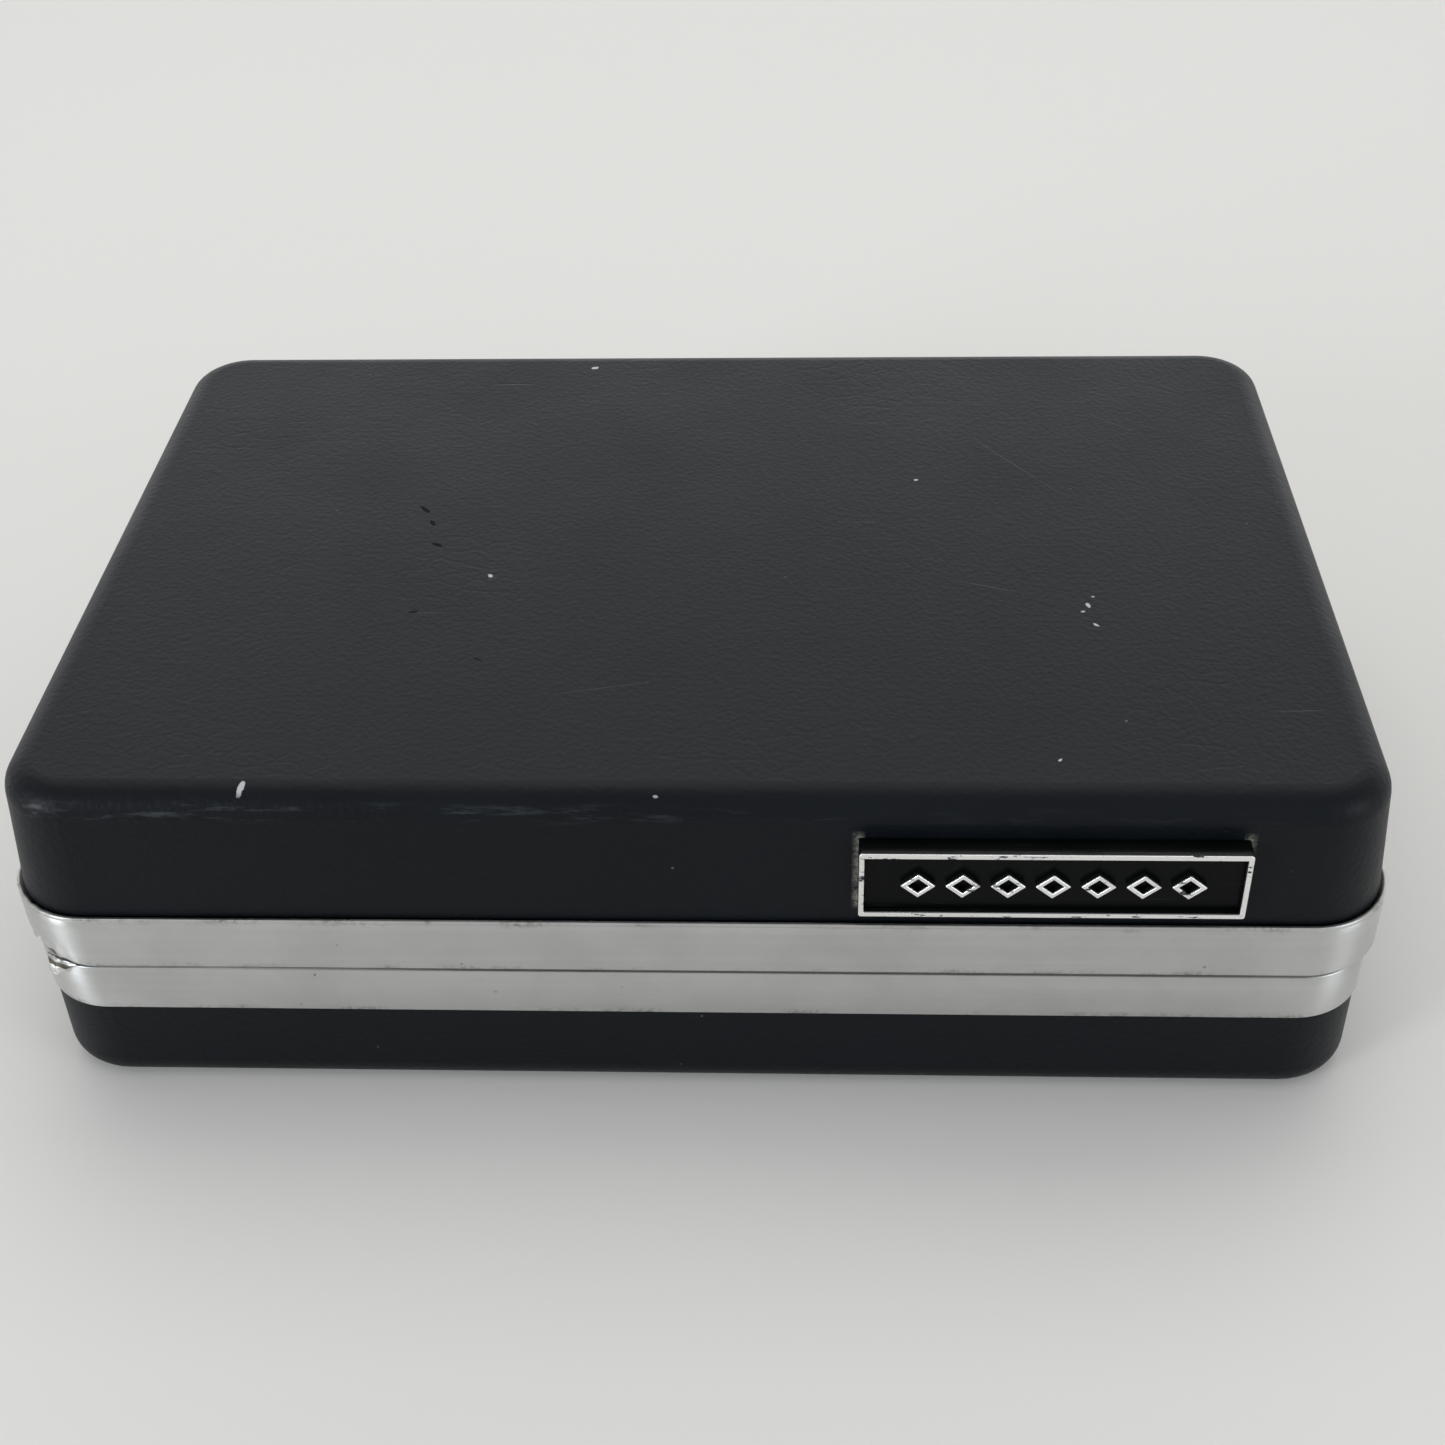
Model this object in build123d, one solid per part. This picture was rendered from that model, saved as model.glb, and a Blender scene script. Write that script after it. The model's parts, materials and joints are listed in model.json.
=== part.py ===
from build123d import *

"""An electric shaver in its hinged travel case, in millimetres.

The case is a black moulded clamshell with an aluminium band on each half. A moulded tray in the base holds
the shaver on its back, a cleaning brush and an open well for the cord; the lid carries a liner and a mirror.
Frame: origin at the centre of the base's underside, +X to the right, -Y towards the front, +Z up, lid closed.
"""

import os

# ---------------------------------------------------------------- driving dimensions: the case
CASE_X = 179.6  # lid width at the foot of its sloping walls
CASE_Y = 120.9  # lid depth there
CASE_H = 50.6
CORNER = 10.5  # plan corner radius there
SEAM_Z = 23.1  # hinge axis height and middle of the seam
SEAM_GAP = 0.3
LID_BAND_TOP = 31.7
BASE_BAND_FOOT = 14.6
LID_DRAFT = 4.4  # degrees that the lid's walls lean in above its band
TOP_EDGE = 4.0
FOOT_EDGE = 4.0

# Insets of each wall from the CASE_X by CASE_Y outline; a negative inset stands proud.
LID_BAND_INSET = -0.85
LID_SKIRT_INSET = 0.6
LID_INNER_INSET = 1.9
BASE_BAND_INSET = 0.05
BASE_WALL_INSET = 0.4
BASE_SKIRT_INSET = 1.2
TONGUE_INSET = 2.1
BASE_INNER_INSET = 3.1
TONGUE_TOP = SEAM_Z + 1.55
FLOOR = 2.2
CEILING = 48.6

LID_FOOT = SEAM_Z + SEAM_GAP / 2
BASE_TOP = SEAM_Z - SEAM_GAP / 2

# ---------------------------------------------------------------- driving dimensions: hinge and catch
HINGE_Y = 63.25
BARREL_R = 1.6
HINGE_PIN_R = 0.8
HINGE_LONG = 30.0
HINGE_XS = (-52.0, 52.0)
LEAF = 0.8  # thickness of a hinge leaf
BASE_LEAF_Z = (15.6, 21.0)
LID_LEAF_Z = (25.2, 30.8)
RIVET_HEAD_R = 1.6
RIVET_SHANK_R = 0.9
CATCH_XS = (-32.0, 32.0)
CATCH_WALL_Y = -CASE_Y / 2 + BASE_INNER_INSET  # inner face of the base's front wall
LUG_Y = (CATCH_WALL_Y + 0.65, CATCH_WALL_Y + 1.95)  # the lid's lugs stand clear of that wall
SPRING_Y = (CATCH_WALL_Y + 2.75, CATCH_WALL_Y + 3.25)

# ---------------------------------------------------------------- driving dimensions: nameplate
PLATE_X = 45.8  # centre of the plate, to the right of the middle
PLATE_LONG = 48.4
PLATE_FOOT = 34.6
PLATE_TALL = 10.4
PLATE_FACE_Y = -CASE_Y / 2 - 1.3  # face of the black field
RELIEF = 1.0  # the border and the studs stand this far off the field
BORDER = 0.7
STUDS = 7
STUD_PITCH = 5.6
STUD_SIZE = (4.4, 3.8)
STUD_STROKE = 0.85  # width of a stud's bars, measured along X

# ---------------------------------------------------------------- driving dimensions: tray
DECK_TOP = 21.5
TRAY_WALL = 1.2
TRAY_GAP = 0.3
WELL_FLOOR = 5.0
CORD_WELL = (59.0, 0.0, 42.0, 92.0, 8.0)  # centre x, y, size x, y, corner radius
BRUSH_SLOT = (-28.0, 38.0, 104.0, 16.0, 5.0)
BRUSH_SLOT_FLOOR = 8.0
FINGER_NOTCH = (-8.0, -44.0, 30.0, 14.0, 6.0)
NOTCH_FLOOR = 9.0
POST_R = 2.6
POST_XY = (81.0, 52.6)

# ---------------------------------------------------------------- driving dimensions: mirror and brush
MIRROR_SIZE = (124.0, 78.0)
MIRROR_Z = (45.1, 47.1)
MIRROR_LIP = 1.1  # the frame's lip under the glass
BRUSH_Z = BRUSH_SLOT_FLOOR + 3.05
BRUSH_Y = BRUSH_SLOT[1]

# ---------------------------------------------------------------- driving dimensions: shaver
SHAVER_Y = -8.0  # its long axis lies along X, at this Y
SHAVER_Z = 22.05  # and this height
SHAVER_WIDE = 56.0
SHAVER_THICK = 34.0
SHAVER_TOP = SHAVER_Z + SHAVER_THICK / 2
SHAVER_FOOT = SHAVER_Z - SHAVER_THICK / 2
SHAVER_EDGE = 13.0
TAIL_X = 28.0
NECK_X = -56.0  # the head starts here
TAIL_EDGE = 10.0
SHELL = 2.0
TRIM_HALF = 0.6
SCREW_XY = ((21.0, -15.0), (21.0, 15.0), (-49.0, -21.5), (-49.0, 21.5))
SLIDER_X = 4.0
SLIDER_TRAVEL = 5.0
INLET_WIDE, INLET_TALL, INLET_DEEP = 14.0, 8.0, 11.0
INLET_WALL = 1.2
INLET_PIN_SPACING = 6.6

SHAFT_R = 1.5
RUNNING = 0.04  # radial clearance of a shaft in its bush
CRANK_THROW = 1.2
CRANK_PIN_R = 0.9
STATOR_X = (-29.0, -11.0)
ROTOR_R = 9.2
BORE_R = 9.7
BRACKETS = {"front": (-42.0, -40.0), "rear": (3.0, 5.0)}
BUSH_R = 4.0
COMMUTATOR_X = (-6.0, 0.0)
COMMUTATOR_R = 4.4
GUIDE_X = -52.3
GUIDE_Z = 5.0  # each guide rod's distance from the shaver's middle plane
GUIDE_R = 1.0
BRIDGE_X = (-54.0, -50.6)

HEAD_WIDE, HEAD_THICK, HEAD_EDGE = 55.4, 32.4, 10.5
HEAD_X = (-74.0, -58.0)
FOIL_R = 5.5
FOIL_WALL = 0.25
FOIL_SPREAD = 6.4  # each foil's distance from the shaver's middle plane
FOIL_X = -72.0  # axis of the foils' arcs
FOIL_LONG = 44.0
CUTTER_R = 5.0
CUTTER_LONG = 40.0
HEAD_WALL = 1.2
BUTTON_X = (-66.0, -60.0)
BUTTON_PROUD = 1.2
BUTTON_HALF = 4.0
TRIMMER_Z = SHAVER_Z + HEAD_THICK / 2 + 0.2
TRIMMER_TIP = -74.6
TRIMMER_TRAVEL = 4.0
TRIMMER_STEM = (-47.0, -43.5)
TOOTH_PITCH = 1.4


# ---------------------------------------------------------------- helpers
def outline(inset):
    """The case's plan outline, moved in by inset."""
    return RectangleRounded(CASE_X - 2 * inset, CASE_Y - 2 * inset, CORNER - inset)


def prism(inset, z0, z1, taper=0.0):
    return Pos(0, 0, z0) * extrude(outline(inset), z1 - z0, taper=taper)


def box(x0, x1, y0, y1, z0, z1):
    return Pos((x0 + x1) / 2, (y0 + y1) / 2, (z0 + z1) / 2) * Box(x1 - x0, y1 - y0, z1 - z0)


def rod_x(x0, x1, y, z, radius):
    return Pos((x0 + x1) / 2, y, z) * Rot(0, 90, 0) * Cylinder(radius, x1 - x0)


def rod_y(y0, y1, x, z, radius):
    return Pos(x, (y0 + y1) / 2, z) * Rot(90, 0, 0) * Cylinder(radius, y1 - y0)


def rod_z(z0, z1, x, y, radius):
    return Pos(x, y, (z0 + z1) / 2) * Cylinder(radius, z1 - z0)


def group(shapes):
    return Compound(children=list(shapes))


def round_top(block, radius):
    return fillet(block.faces().sort_by(Axis.Z)[-1].edges(), radius)


def round_foot(block, radius):
    return fillet(block.faces().sort_by(Axis.Z)[0].edges(), radius)


def across(x, wide, thick, radius):
    """A rounded section of the shaver, square to its long axis, at x."""
    plane = Plane(origin=(x, SHAVER_Y, SHAVER_Z), x_dir=(0, 1, 0), z_dir=(1, 0, 0))
    return plane * RectangleRounded(wide, thick, radius)


def along(x0, x1, wide, thick, radius):
    """A bar with that rounded section, from x0 to x1."""
    return extrude(across(x0, wide, thick, radius), x1 - x0, dir=(1, 0, 0))


# ---------------------------------------------------------------- case: base
def base_shell():
    outer = round_foot(prism(BASE_WALL_INSET, 0, BASE_BAND_FOOT), FOOT_EDGE)
    outer += prism(BASE_SKIRT_INSET, BASE_BAND_FOOT, BASE_TOP)
    outer += prism(TONGUE_INSET, BASE_TOP, TONGUE_TOP)
    inner = round_foot(prism(BASE_INNER_INSET, FLOOR, TONGUE_TOP + 1), FOOT_EDGE - FLOOR + 0.6)
    shell = outer - inner
    for sx in (-1, 1):
        for sy in (-1, 1):
            shell += rod_z(FLOOR - 0.5, DECK_TOP - TRAY_WALL, sx * POST_XY[0], sy * POST_XY[1], POST_R)
    for x in CATCH_XS:
        shell += box(x - 7, x + 7, CATCH_WALL_Y - 0.2, SPRING_Y[0], FLOOR - 0.5, 10)
    return shell


def band(z0, z1, outer_inset, inner_inset):
    outside = prism(outer_inset, z0, z1)
    rims = outside.faces().sort_by(Axis.Z)
    outside = fillet(rims[0].edges() + rims[-1].edges(), 0.25)
    return outside - prism(inner_inset, z0 - 1, z1 + 1)


def tray():
    def well(spec, grow, floor):
        x, y, sx, sy, r = spec
        sketch = RectangleRounded(sx + 2 * grow, sy + 2 * grow, r + grow)
        return Pos(x, y, floor) * extrude(sketch, DECK_TOP + 1 - floor)

    shaver_well = ((TAIL_X - 80.0) / 2, SHAVER_Y, TAIL_X + 80.0 + 4.4, SHAVER_WIDE + 5.0, 9.0)
    wells = [
        (shaver_well, WELL_FLOOR),
        (CORD_WELL, WELL_FLOOR),
        (BRUSH_SLOT, BRUSH_SLOT_FLOOR),
        (FINGER_NOTCH, NOTCH_FLOOR),
    ]
    inset = BASE_INNER_INSET + TRAY_GAP
    body = prism(inset, DECK_TOP - TRAY_WALL, DECK_TOP)
    for spec, floor in wells:
        body += well(spec, TRAY_WALL, floor - TRAY_WALL) & prism(inset, 0, DECK_TOP)
    for spec, floor in wells:
        body -= well(spec, 0, floor)
    for x in CATCH_XS:
        body -= box(x - 8.5, x + 8.5, CATCH_WALL_Y - 2, SPRING_Y[1] + 0.7, 0, DECK_TOP + 1)
    return body


def catch_springs():
    """A sprung steel strip behind the front wall, at each catch."""
    y0, y1 = SPRING_Y
    strips = []
    for x in CATCH_XS:
        strip = box(x - 5, x + 5, y0, y1, 4.0, 20.0)
        bump = rod_x(x - 5, x + 5, y0 + 0.4, 17.0, 0.9)
        strips.append(strip + (bump & box(x - 5, x + 5, y0 - 2, y1 - 0.1, 10, 20)))
    return group(strips)


def catch_lugs():
    """The lid's two lugs, which dip behind the base's front wall and snap past the springs."""
    lugs = []
    for x in CATCH_XS:
        finger = box(x - 4, x + 4, *LUG_Y, 14.6, 30.0)
        foot = box(x - 6, x + 6, -CASE_Y / 2 + LID_INNER_INSET, LUG_Y[1], TONGUE_TOP + 0.5, 30.0)
        lugs.append(finger + foot)
    return group(lugs)


# ---------------------------------------------------------------- case: hinge
def hinge_half(for_lid):
    """The Y of the band that a half's leaves lie on, and the leaves' heights."""
    if for_lid:
        return CASE_Y / 2 - LID_BAND_INSET, LID_LEAF_Z
    return CASE_Y / 2 - BASE_BAND_INSET, BASE_LEAF_Z


def rivets(for_lid):
    """Each leaf is held by two rivets, whose shanks end at the band behind it."""
    wall_y, leaf_z = hinge_half(for_lid)
    made = []
    for hx in HINGE_XS:
        for dx in (-HINGE_LONG / 3, HINGE_LONG / 3):
            z = sum(leaf_z) / 2
            head = rod_y(wall_y + LEAF, wall_y + LEAF + 0.5, hx + dx, z, RIVET_HEAD_R)
            head = fillet(head.faces().sort_by(Axis.Y)[-1].edges(), 0.35)
            made.append(head + rod_y(wall_y, wall_y + LEAF, hx + dx, z, RIVET_SHANK_R))
    return group(made)


def leaves(for_lid):
    """The two hinges' leaves on one half: the lid has each middle knuckle and the base the outer two."""
    third = HINGE_LONG / 3
    wall_y, leaf_z = hinge_half(for_lid)
    web_z = (SEAM_Z + 0.4, leaf_z[0] + 0.2) if for_lid else (leaf_z[1] - 0.3, SEAM_Z - 0.4)
    made = []
    for hx in HINGE_XS:
        leaf = box(hx - HINGE_LONG / 2, hx + HINGE_LONG / 2, wall_y, wall_y + LEAF, *leaf_z)
        middle, outer = [(-third / 2, third / 2)], [(-1.5 * third, -third / 2), (third / 2, 1.5 * third)]
        spans = middle if for_lid else outer
        for a, b in spans:
            a, b = a + 0.1, b - 0.1
            knuckle = rod_x(hx + a, hx + b, HINGE_Y, SEAM_Z, BARREL_R)
            riser = box(hx + a, hx + b, wall_y, wall_y + LEAF, *web_z)
            foot_z = (web_z[0], web_z[0] + 1.0) if for_lid else (web_z[1] - 1.0, web_z[1])
            leaf += riser + box(hx + a, hx + b, wall_y, HINGE_Y, *foot_z) + knuckle
        bore = HINGE_PIN_R + (RUNNING if for_lid else 0.0)
        leaf -= rod_x(hx - HINGE_LONG, hx + HINGE_LONG, HINGE_Y, SEAM_Z, bore)
        for dx in (-third, third):
            leaf -= rod_y(wall_y - 1, wall_y + 2, hx + dx, sum(leaf_z) / 2, RIVET_SHANK_R + 0.05)
        made.append(leaf)
    return group(made)


def hinge_pins():
    half = HINGE_LONG / 2 + 0.3
    return group(rod_x(hx - half, hx + half, HINGE_Y, SEAM_Z, HINGE_PIN_R) for hx in HINGE_XS)


# ---------------------------------------------------------------- case: lid
def lid_shell():
    crown = round_top(prism(0, LID_BAND_TOP, CASE_H, taper=LID_DRAFT), TOP_EDGE)
    outer = crown + prism(LID_SKIRT_INSET, LID_FOOT, LID_BAND_TOP)
    hollow = round_top(prism(LID_INNER_INSET, LID_BAND_TOP, CEILING, taper=LID_DRAFT), TOP_EDGE - 1.5)
    return outer - hollow - prism(LID_INNER_INSET, LID_FOOT - 1, LID_BAND_TOP)


def lid_liner():
    """A thin moulded lining, open downwards, whose ceiling carries the mirror."""
    gap, wall = 0.25, 1.2
    foot = TONGUE_TOP + 0.4
    inset = LID_INNER_INSET + gap
    outer = prism(inset, foot, LID_BAND_TOP)
    outer += round_top(prism(inset, LID_BAND_TOP, CEILING - gap, taper=LID_DRAFT), TOP_EDGE - 1.5)
    inset += wall
    inner = prism(inset, foot - 1, LID_BAND_TOP)
    inner += round_top(prism(inset, LID_BAND_TOP, CEILING - gap - wall, taper=LID_DRAFT), 2.0)
    liner = outer - inner
    for x in CATCH_XS:
        liner -= box(x - 6.5, x + 6.5, -CASE_Y / 2, LUG_Y[1] + 0.5, foot - 1, 30.6)
    return liner


def mirror_glass():
    plate = Pos(0, 0, MIRROR_Z[0]) * extrude(RectangleRounded(*MIRROR_SIZE, 5), MIRROR_Z[1] - MIRROR_Z[0])
    return chamfer(plate.faces().sort_by(Axis.Z)[0].edges(), 0.6)


def mirror_frame():
    x, y = MIRROR_SIZE
    rim = extrude(RectangleRounded(x + 7, y + 7, 8), MIRROR_Z[1] - MIRROR_Z[0] + MIRROR_LIP)
    rim -= Pos(0, 0, -1) * extrude(RectangleRounded(x - 4, y - 4, 4), 6)
    rim -= Pos(0, 0, MIRROR_LIP) * extrude(RectangleRounded(x + 0.3, y + 0.3, 5.2), 4)
    return Pos(0, 0, MIRROR_Z[0] - MIRROR_LIP) * rim


# ---------------------------------------------------------------- case: nameplate
def nameplate_block():
    field = box(
        PLATE_X - PLATE_LONG / 2, PLATE_X + PLATE_LONG / 2,
        PLATE_FACE_Y, -CASE_Y / 2 + 3.0,
        PLATE_FOOT, PLATE_FOOT + PLATE_TALL,
    )
    return field - prism(0, LID_BAND_TOP, CASE_H, taper=LID_DRAFT)


def nameplate_border():
    x0, x1 = PLATE_X - PLATE_LONG / 2, PLATE_X + PLATE_LONG / 2
    z0, z1 = PLATE_FOOT, PLATE_FOOT + PLATE_TALL
    rim = box(x0, x1, PLATE_FACE_Y - RELIEF, PLATE_FACE_Y, z0, z1)
    rim = fillet(rim.edges().filter_by(Axis.Y), 0.4)
    return rim - box(x0 + BORDER, x1 - BORDER, PLATE_FACE_Y - 5, PLATE_FACE_Y + 5, z0 + BORDER, z1 - BORDER)


def nameplate_studs():
    """A plain row of open lozenges in relief."""

    def lozenge(shrink):
        half_x, half_z = (s / 2 * shrink for s in STUD_SIZE)
        return Polygon((-half_x, 0), (0, -half_z), (half_x, 0), (0, half_z), align=None)

    ring = lozenge(1) - lozenge(1 - 2 * STUD_STROKE / STUD_SIZE[0])
    studs = []
    for i in range(STUDS):
        x = PLATE_X + (i - (STUDS - 1) / 2) * STUD_PITCH
        z = PLATE_FOOT + PLATE_TALL / 2
        face = Plane(origin=(x, PLATE_FACE_Y, z), x_dir=(1, 0, 0), z_dir=(0, -1, 0))
        studs.append(extrude(face * ring, RELIEF))
    return group(studs)


# ---------------------------------------------------------------- tray contents: cleaning brush
def cleaning_brush_handle():
    grip = box(-44, 18, BRUSH_Y - 4, BRUSH_Y + 4, BRUSH_Z - 2.5, BRUSH_Z + 2.5)
    grip = fillet(grip.edges().filter_by(Axis.X), 2.2)
    ferrule = box(-56, -44, BRUSH_Y - 5, BRUSH_Y + 5, BRUSH_Z - 3, BRUSH_Z + 3)
    ferrule = fillet(ferrule.edges().filter_by(Axis.X), 1.5)
    return grip + ferrule - rod_z(0, 30, 13, BRUSH_Y, 1.6)


def cleaning_brush_bristles():
    tuft = box(-74, -56, BRUSH_Y - 4.4, BRUSH_Y + 4.4, BRUSH_Z - 2.4, BRUSH_Z + 2.4)
    return fillet(tuft.edges().filter_by(Axis.X), 1.2)


# ---------------------------------------------------------------- shaver: casing
def shaver_body(grow):
    bar = along(NECK_X, TAIL_X + grow, SHAVER_WIDE + 2 * grow, SHAVER_THICK + 2 * grow, SHAVER_EDGE + grow)
    return fillet(bar.faces().sort_by(Axis.X)[-1].edges(), TAIL_EDGE + grow)


def shaver_cavity():
    wide, thick = SHAVER_WIDE - 2 * SHELL, SHAVER_THICK - 2 * SHELL
    return shaver_body(-SHELL) + along(NECK_X - 1, NECK_X + 1, wide, thick, SHAVER_EDGE - SHELL)


def inlet_space():
    return along(TAIL_X - INLET_DEEP, TAIL_X + 5, INLET_WIDE, INLET_TALL, 2.0)


def front_shell():
    """The upper half as the shaver lies: it carries the switch and the trimmer."""
    shell = shaver_body(0) - shaver_cavity()
    for x, dy in SCREW_XY:
        shell += rod_z(SHAVER_Z, SHAVER_TOP - 1, x, SHAVER_Y + dy, 2.8) & shaver_body(-1)
        shell -= rod_z(SHAVER_Z, SHAVER_Z + 10, x, SHAVER_Y + dy, 1.15)
    shell -= box(-300, 300, -300, 300, -300, SHAVER_Z + TRIM_HALF)
    shell -= inlet_space()
    slots = [
        (SLIDER_X - 2.2, SLIDER_X + 2.2 + SLIDER_TRAVEL, 1.5),
        (TRIMMER_STEM[0] - 0.3 - TRIMMER_TRAVEL, TRIMMER_STEM[1] + 0.3, 2.2),
    ]
    for x0, x1, half in slots:
        shell -= box(x0, x1, SHAVER_Y - half, SHAVER_Y + half, SHAVER_TOP - 5, SHAVER_TOP + 1)
    return shell


def back_shell():
    shell = shaver_body(0) - shaver_cavity()
    foot = SHAVER_FOOT
    for x, dy in SCREW_XY:
        shell += rod_z(foot + 1, SHAVER_Z, x, SHAVER_Y + dy, 3.2) & shaver_body(-1)
        shell -= rod_z(foot - 1, SHAVER_Z, x, SHAVER_Y + dy, 1.3)
        shell -= rod_z(foot - 1, foot + 7.0, x, SHAVER_Y + dy, 2.3)
    shell -= box(-300, 300, -300, 300, SHAVER_Z - TRIM_HALF, 300)
    shell -= inlet_space()
    for i in range(6):
        x = -36 + 5 * i
        shell -= box(x, x + 1.6, SHAVER_Y - 12, SHAVER_Y + 12, foot - 1, foot + SHELL + 0.5)
    return shell


def trim_strips():
    """A bright strip along each side, between the two shells."""
    slab = box(NECK_X, 60, -100, 100, SHAVER_Z - TRIM_HALF, SHAVER_Z + TRIM_HALF)
    ring = (shaver_body(0.45) & slab) - shaver_cavity() - inlet_space()
    for x, dy in SCREW_XY:
        ring -= rod_z(0, 60, x, SHAVER_Y + dy, 3.4)
    return ring


def body_screws():
    foot = SHAVER_FOOT
    screws = []
    for x, dy in SCREW_XY:
        y = SHAVER_Y + dy
        head = rod_z(foot + 5.4, foot + 7.0, x, y, 2.1)
        screw = head + rod_z(foot + 7.0, SHAVER_Z + 8, x, y, 1.1)
        screws.append(screw - box(x - 3, x + 3, y - 0.3, y + 0.3, foot, foot + 6.2))
    return group(screws)


# ---------------------------------------------------------------- shaver: inlet and switch
def power_inlet():
    block = along(TAIL_X - INLET_DEEP + 0.2, TAIL_X - 0.6, INLET_WIDE - 0.3, INLET_TALL - 0.3, 1.85)
    wide, tall = INLET_WIDE - 0.3 - 2 * INLET_WALL, INLET_TALL - 0.3 - 2 * INLET_WALL
    return block - along(TAIL_X - INLET_DEEP + 2.2, TAIL_X + 1, wide, tall, 0.9)


def inlet_pins():
    x0 = TAIL_X - INLET_DEEP + 2.2
    ys = (SHAVER_Y - INLET_PIN_SPACING / 2, SHAVER_Y + INLET_PIN_SPACING / 2)
    return group(rod_x(x0, TAIL_X - 2.0, y, SHAVER_Z, 1.2) for y in ys)


def switch_slider():
    top = SHAVER_TOP
    cap = box(SLIDER_X - 7, SLIDER_X + 7, SHAVER_Y - 5, SHAVER_Y + 5, top + 0.15, top + 2.3)
    cap = fillet(cap.edges().filter_by(Axis.Z), 2.5)
    for i in range(5):
        x = SLIDER_X - 4 + 2 * i
        cap -= box(x - 0.35, x + 0.35, SHAVER_Y - 4, SHAVER_Y + 4, top + 1.7, top + 3)
    return cap + box(SLIDER_X - 2, SLIDER_X + 2, SHAVER_Y - 1.3, SHAVER_Y + 1.3, top - 5.6, top + 0.3)


def switch_block():
    """The switch under the slider, with a groove that its stem runs in."""
    top = SHAVER_TOP - SHELL - 0.3
    block = box(SLIDER_X - 5, SLIDER_X + 10, SHAVER_Y - 6, SHAVER_Y + 6, top - 7, top)
    x0, x1 = SLIDER_X - 3, SLIDER_X + 3 + SLIDER_TRAVEL
    return block - box(x0, x1, SHAVER_Y - 1.6, SHAVER_Y + 1.6, top - 4, top + 1)


def capacitor():
    return rod_y(SHAVER_Y - 9, SHAVER_Y + 9, 11.5, SHAVER_Z - 6.5, 4.0)


# ---------------------------------------------------------------- shaver: motor
def on_axis(x0, x1, radius):
    return rod_x(x0, x1, SHAVER_Y, SHAVER_Z, radius)


def bracket(name):
    x0, x1 = BRACKETS[name]
    plate = along(x0, x1, SHAVER_WIDE - 2 * SHELL - 0.6, SHAVER_THICK - 2 * SHELL - 0.6, 10.7)
    plate -= on_axis(x0 - 1, x1 + 1, BUSH_R + 0.02)
    for sy in (-1, 1):
        plate -= along(x0 - 1, x1 + 1, 10, 16, 4).moved(Location((0, sy * 16, 0)))
    if name == "rear":
        plate -= box(x0 - 1, x1 + 1, SHAVER_Y - 6.6, SHAVER_Y + 6.6, SHAVER_Z + 7.2, SHAVER_Z + 20)
    return plate


def bearing(name):
    x0, x1 = BRACKETS[name]
    return on_axis(x0 - 1.2, x1 + 1.2, BUSH_R) - on_axis(x0 - 5, x1 + 5, SHAFT_R + RUNNING)


def stator_core():
    x0, x1 = STATOR_X
    core = along(x0, x1, 46, 27, 5) - along(x0 - 1, x1 + 1, 36, 20, 3)
    for sy in (-1, 1):
        for near, far, half_z in ((8, 19, 5), (5, 12, 8)):  # each pole's neck, then its shoe
            y0, y1 = sorted((SHAVER_Y + sy * near, SHAVER_Y + sy * far))
            core += box(x0, x1, y0, y1, SHAVER_Z - half_z, SHAVER_Z + half_z)
    return core - on_axis(x0 - 1, x1 + 1, BORE_R)


def field_coils():
    """One winding round each pole's neck."""
    x0, x1 = STATOR_X
    coils = []
    for sy in (-1, 1):
        y0, y1 = sorted((SHAVER_Y + sy * 12.2, SHAVER_Y + sy * 17.6))
        coil = box(x0 - 3.2, x1 + 3.2, y0, y1, SHAVER_Z - 8.4, SHAVER_Z + 8.4)
        coil = fillet(coil.edges().filter_by(Axis.Y), 2.5)
        coils.append(coil - box(x0 - 0.2, x1 + 0.2, y0 - 1, y1 + 1, SHAVER_Z - 5.2, SHAVER_Z + 5.2))
    return group(coils)


def rotor_shaft():
    return on_axis(-45.5, 7.5, SHAFT_R)


def rotor_core():
    x0, x1 = STATOR_X
    core = on_axis(x0, x1, ROTOR_R) - on_axis(x0 - 1, x1 + 1, SHAFT_R)
    slots = 10
    for i in range(slots):
        slot = box(x0 - 1, x1 + 1, -0.9, 0.9, 6.2, ROTOR_R + 1)
        core -= Pos(0, SHAVER_Y, SHAVER_Z) * Rot(360 / slots * i, 0, 0) * slot
    return core


def rotor_windings():
    x0, x1 = STATOR_X
    ends = []
    for a, b in ((x0 - 3.4, x0), (x1, x1 + 3.4)):
        ring = on_axis(a, b, 8.2) - on_axis(a - 1, b + 1, SHAFT_R + 0.6)
        ends.append(fillet(ring.edges().filter_by(GeomType.CIRCLE).sort_by(SortBy.RADIUS)[-2:], 1.2))
    return group(ends)


def commutator():
    x0, x1 = COMMUTATOR_X
    drum = on_axis(x0, x1, COMMUTATOR_R) - on_axis(x0 - 1, x1 + 1, SHAFT_R)
    bars = 10
    for i in range(bars):
        gap = box(x0 - 1, x1 + 1, -0.2, 0.2, COMMUTATOR_R - 0.6, COMMUTATOR_R + 1)
        drum -= Pos(0, SHAVER_Y, SHAVER_Z) * Rot(360 / bars * i, 0, 0) * gap
    return drum


def cooling_fan():
    hub = on_axis(-38.4, -37.6, 12.2) + on_axis(-38.4, -34.6, 3.4)
    blades = 9
    for i in range(blades):
        blade = box(-37.7, -34.6, -0.4, 0.4, 3.0, 12.0)
        hub += Pos(0, SHAVER_Y, SHAVER_Z) * Rot(360 / blades * i, 0, 0) * blade
    return hub - on_axis(-50, -30, SHAFT_R)


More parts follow.
